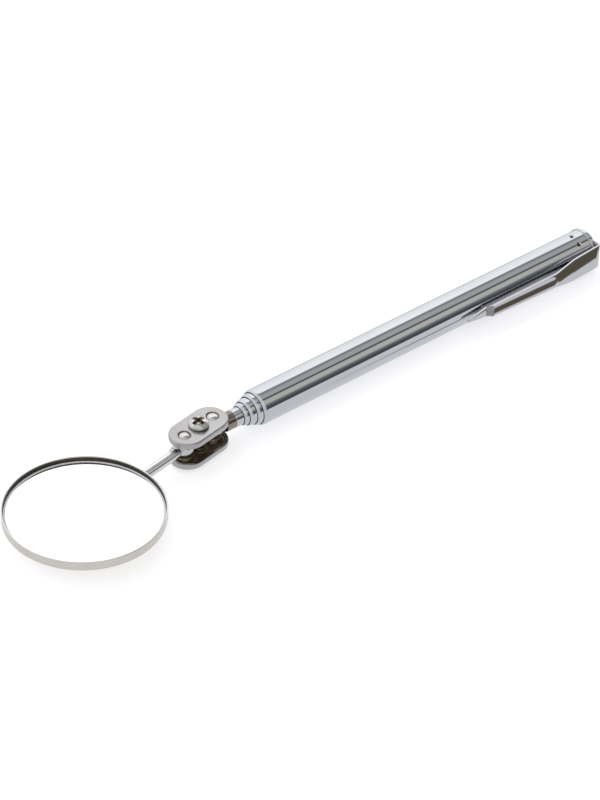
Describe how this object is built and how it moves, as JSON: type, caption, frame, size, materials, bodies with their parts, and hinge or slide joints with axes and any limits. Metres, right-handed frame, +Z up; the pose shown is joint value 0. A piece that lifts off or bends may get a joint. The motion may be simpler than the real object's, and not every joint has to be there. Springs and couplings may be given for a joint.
{
  "type": "telescoping inspection mirror",
  "caption": "Pocket inspection mirror: round framed glass on a two-ball screw clamp, carried by a telescoping chromed tube with a pocket clip.",
  "frame": {"origin": "on the surface the tool lies on, under the middle of its overall box", "axes": "+X along the barrel from the mirror to the clip end, +Z up out of the mirror's face, clip on the -Y side"},
  "size_m": [0.241, 0.05, 0.0135],
  "materials": {
    "chrome_tube": "bright chrome plate",
    "chrome_plug": "bright chrome plate",
    "spring_steel": "bright plated spring steel",
    "bush_brass": "turned",
    "bronze_spring": "rolled phosphor bronze",
    "polished_steel": "polished",
    "nickel_plate": "tumbled nickel plate",
    "screw_steel": "nickel plated",
    "case_steel": "satin outside, bright rim",
    "backing_card": "matt",
    "mirror_glass": "silvered glass"
  },
  "bodies": {
    "barrel": {"barrel_tube": "chrome_tube", "end_plug": "chrome_plug", "clip_rivet": "polished_steel", "clip_bridge": "spring_steel"},
    "clip_arm": {"clip_arm": "spring_steel"},
    "section_1": {"section_1_tube": "chrome_tube", "section_1_bush": "bush_brass", "section_1_spring": "bronze_spring"},
    "section_2": {"section_2_tube": "chrome_tube", "section_2_bush": "bush_brass", "section_2_spring": "bronze_spring"},
    "section_3": {"section_3_tube": "chrome_tube", "section_3_bush": "bush_brass", "section_3_spring": "bronze_spring"},
    "section_4_tail": {"section_4_bush": "bush_brass", "section_4_spring": "bronze_spring"},
    "section_4": {"section_4_tube": "chrome_tube", "ball_stud": "polished_steel"},
    "clamp": {"clamp_plate_top": "nickel_plate", "clamp_plate_bottom": "nickel_plate"},
    "clamp_screw": {"clamp_screw": "screw_steel"},
    "swivel_ball": {"swivel_ball": "polished_steel"},
    "mirror_head": {"mirror_rod": "polished_steel", "mirror_case": "case_steel", "mirror_backing": "backing_card", "mirror_glass": "mirror_glass"}
  },
  "joints": [
    {"name": "section_1_slide", "type": "slide", "parent": "barrel", "child": "section_1", "axis": [-1, 0, 0], "range_m": [0, 0.122]},
    {"name": "section_2_slide", "type": "slide", "parent": "section_1", "child": "section_2", "axis": [-1, 0, 0], "range_m": [0, 0.1225]},
    {"name": "section_3_slide", "type": "slide", "parent": "section_2", "child": "section_3", "axis": [-1, 0, 0], "range_m": [0, 0.123]},
    {"name": "section_4_slide", "type": "slide", "parent": "section_3", "child": "section_4_tail", "axis": [-1, 0, 0], "range_m": [0, 0.1235]},
    {"name": "shaft_spin", "type": "hinge", "parent": "section_4_tail", "child": "section_4", "pos_m": [-0.02297, 0.00921, 0.0063], "axis": [1, 0, 0], "continuous": true},
    {"name": "clamp_swivel", "type": "hinge", "parent": "section_4", "child": "clamp", "pos_m": [-0.03927, 0.00921, 0.0063], "axis": [0, 0, 1], "range_deg": [-84.3, 65.7]},
    {"name": "clamp_screw_turn", "type": "hinge", "parent": "clamp", "child": "clamp_screw", "pos_m": [-0.04559, 0.00818, 0.0063], "axis": [0, 0, 1], "range_deg": [0, 360]},
    {"name": "mirror_swivel", "type": "hinge", "parent": "clamp", "child": "swivel_ball", "pos_m": [-0.05191, 0.00714, 0.0063], "axis": [0, 0, 1], "range_deg": [-75, 75]},
    {"name": "mirror_roll", "type": "hinge", "parent": "swivel_ball", "child": "mirror_head", "pos_m": [-0.05191, 0.00714, 0.0063], "axis": [0.9869, 0.1616, 0], "continuous": true},
    {"name": "clip_flex", "type": "hinge", "parent": "barrel", "child": "clip_arm", "pos_m": [0.11908, 0.00216, 0.0063], "axis": [0, 0, 1], "range_deg": [0, 2.5], "stiffness_Nm_per_rad": 8}
  ]
}
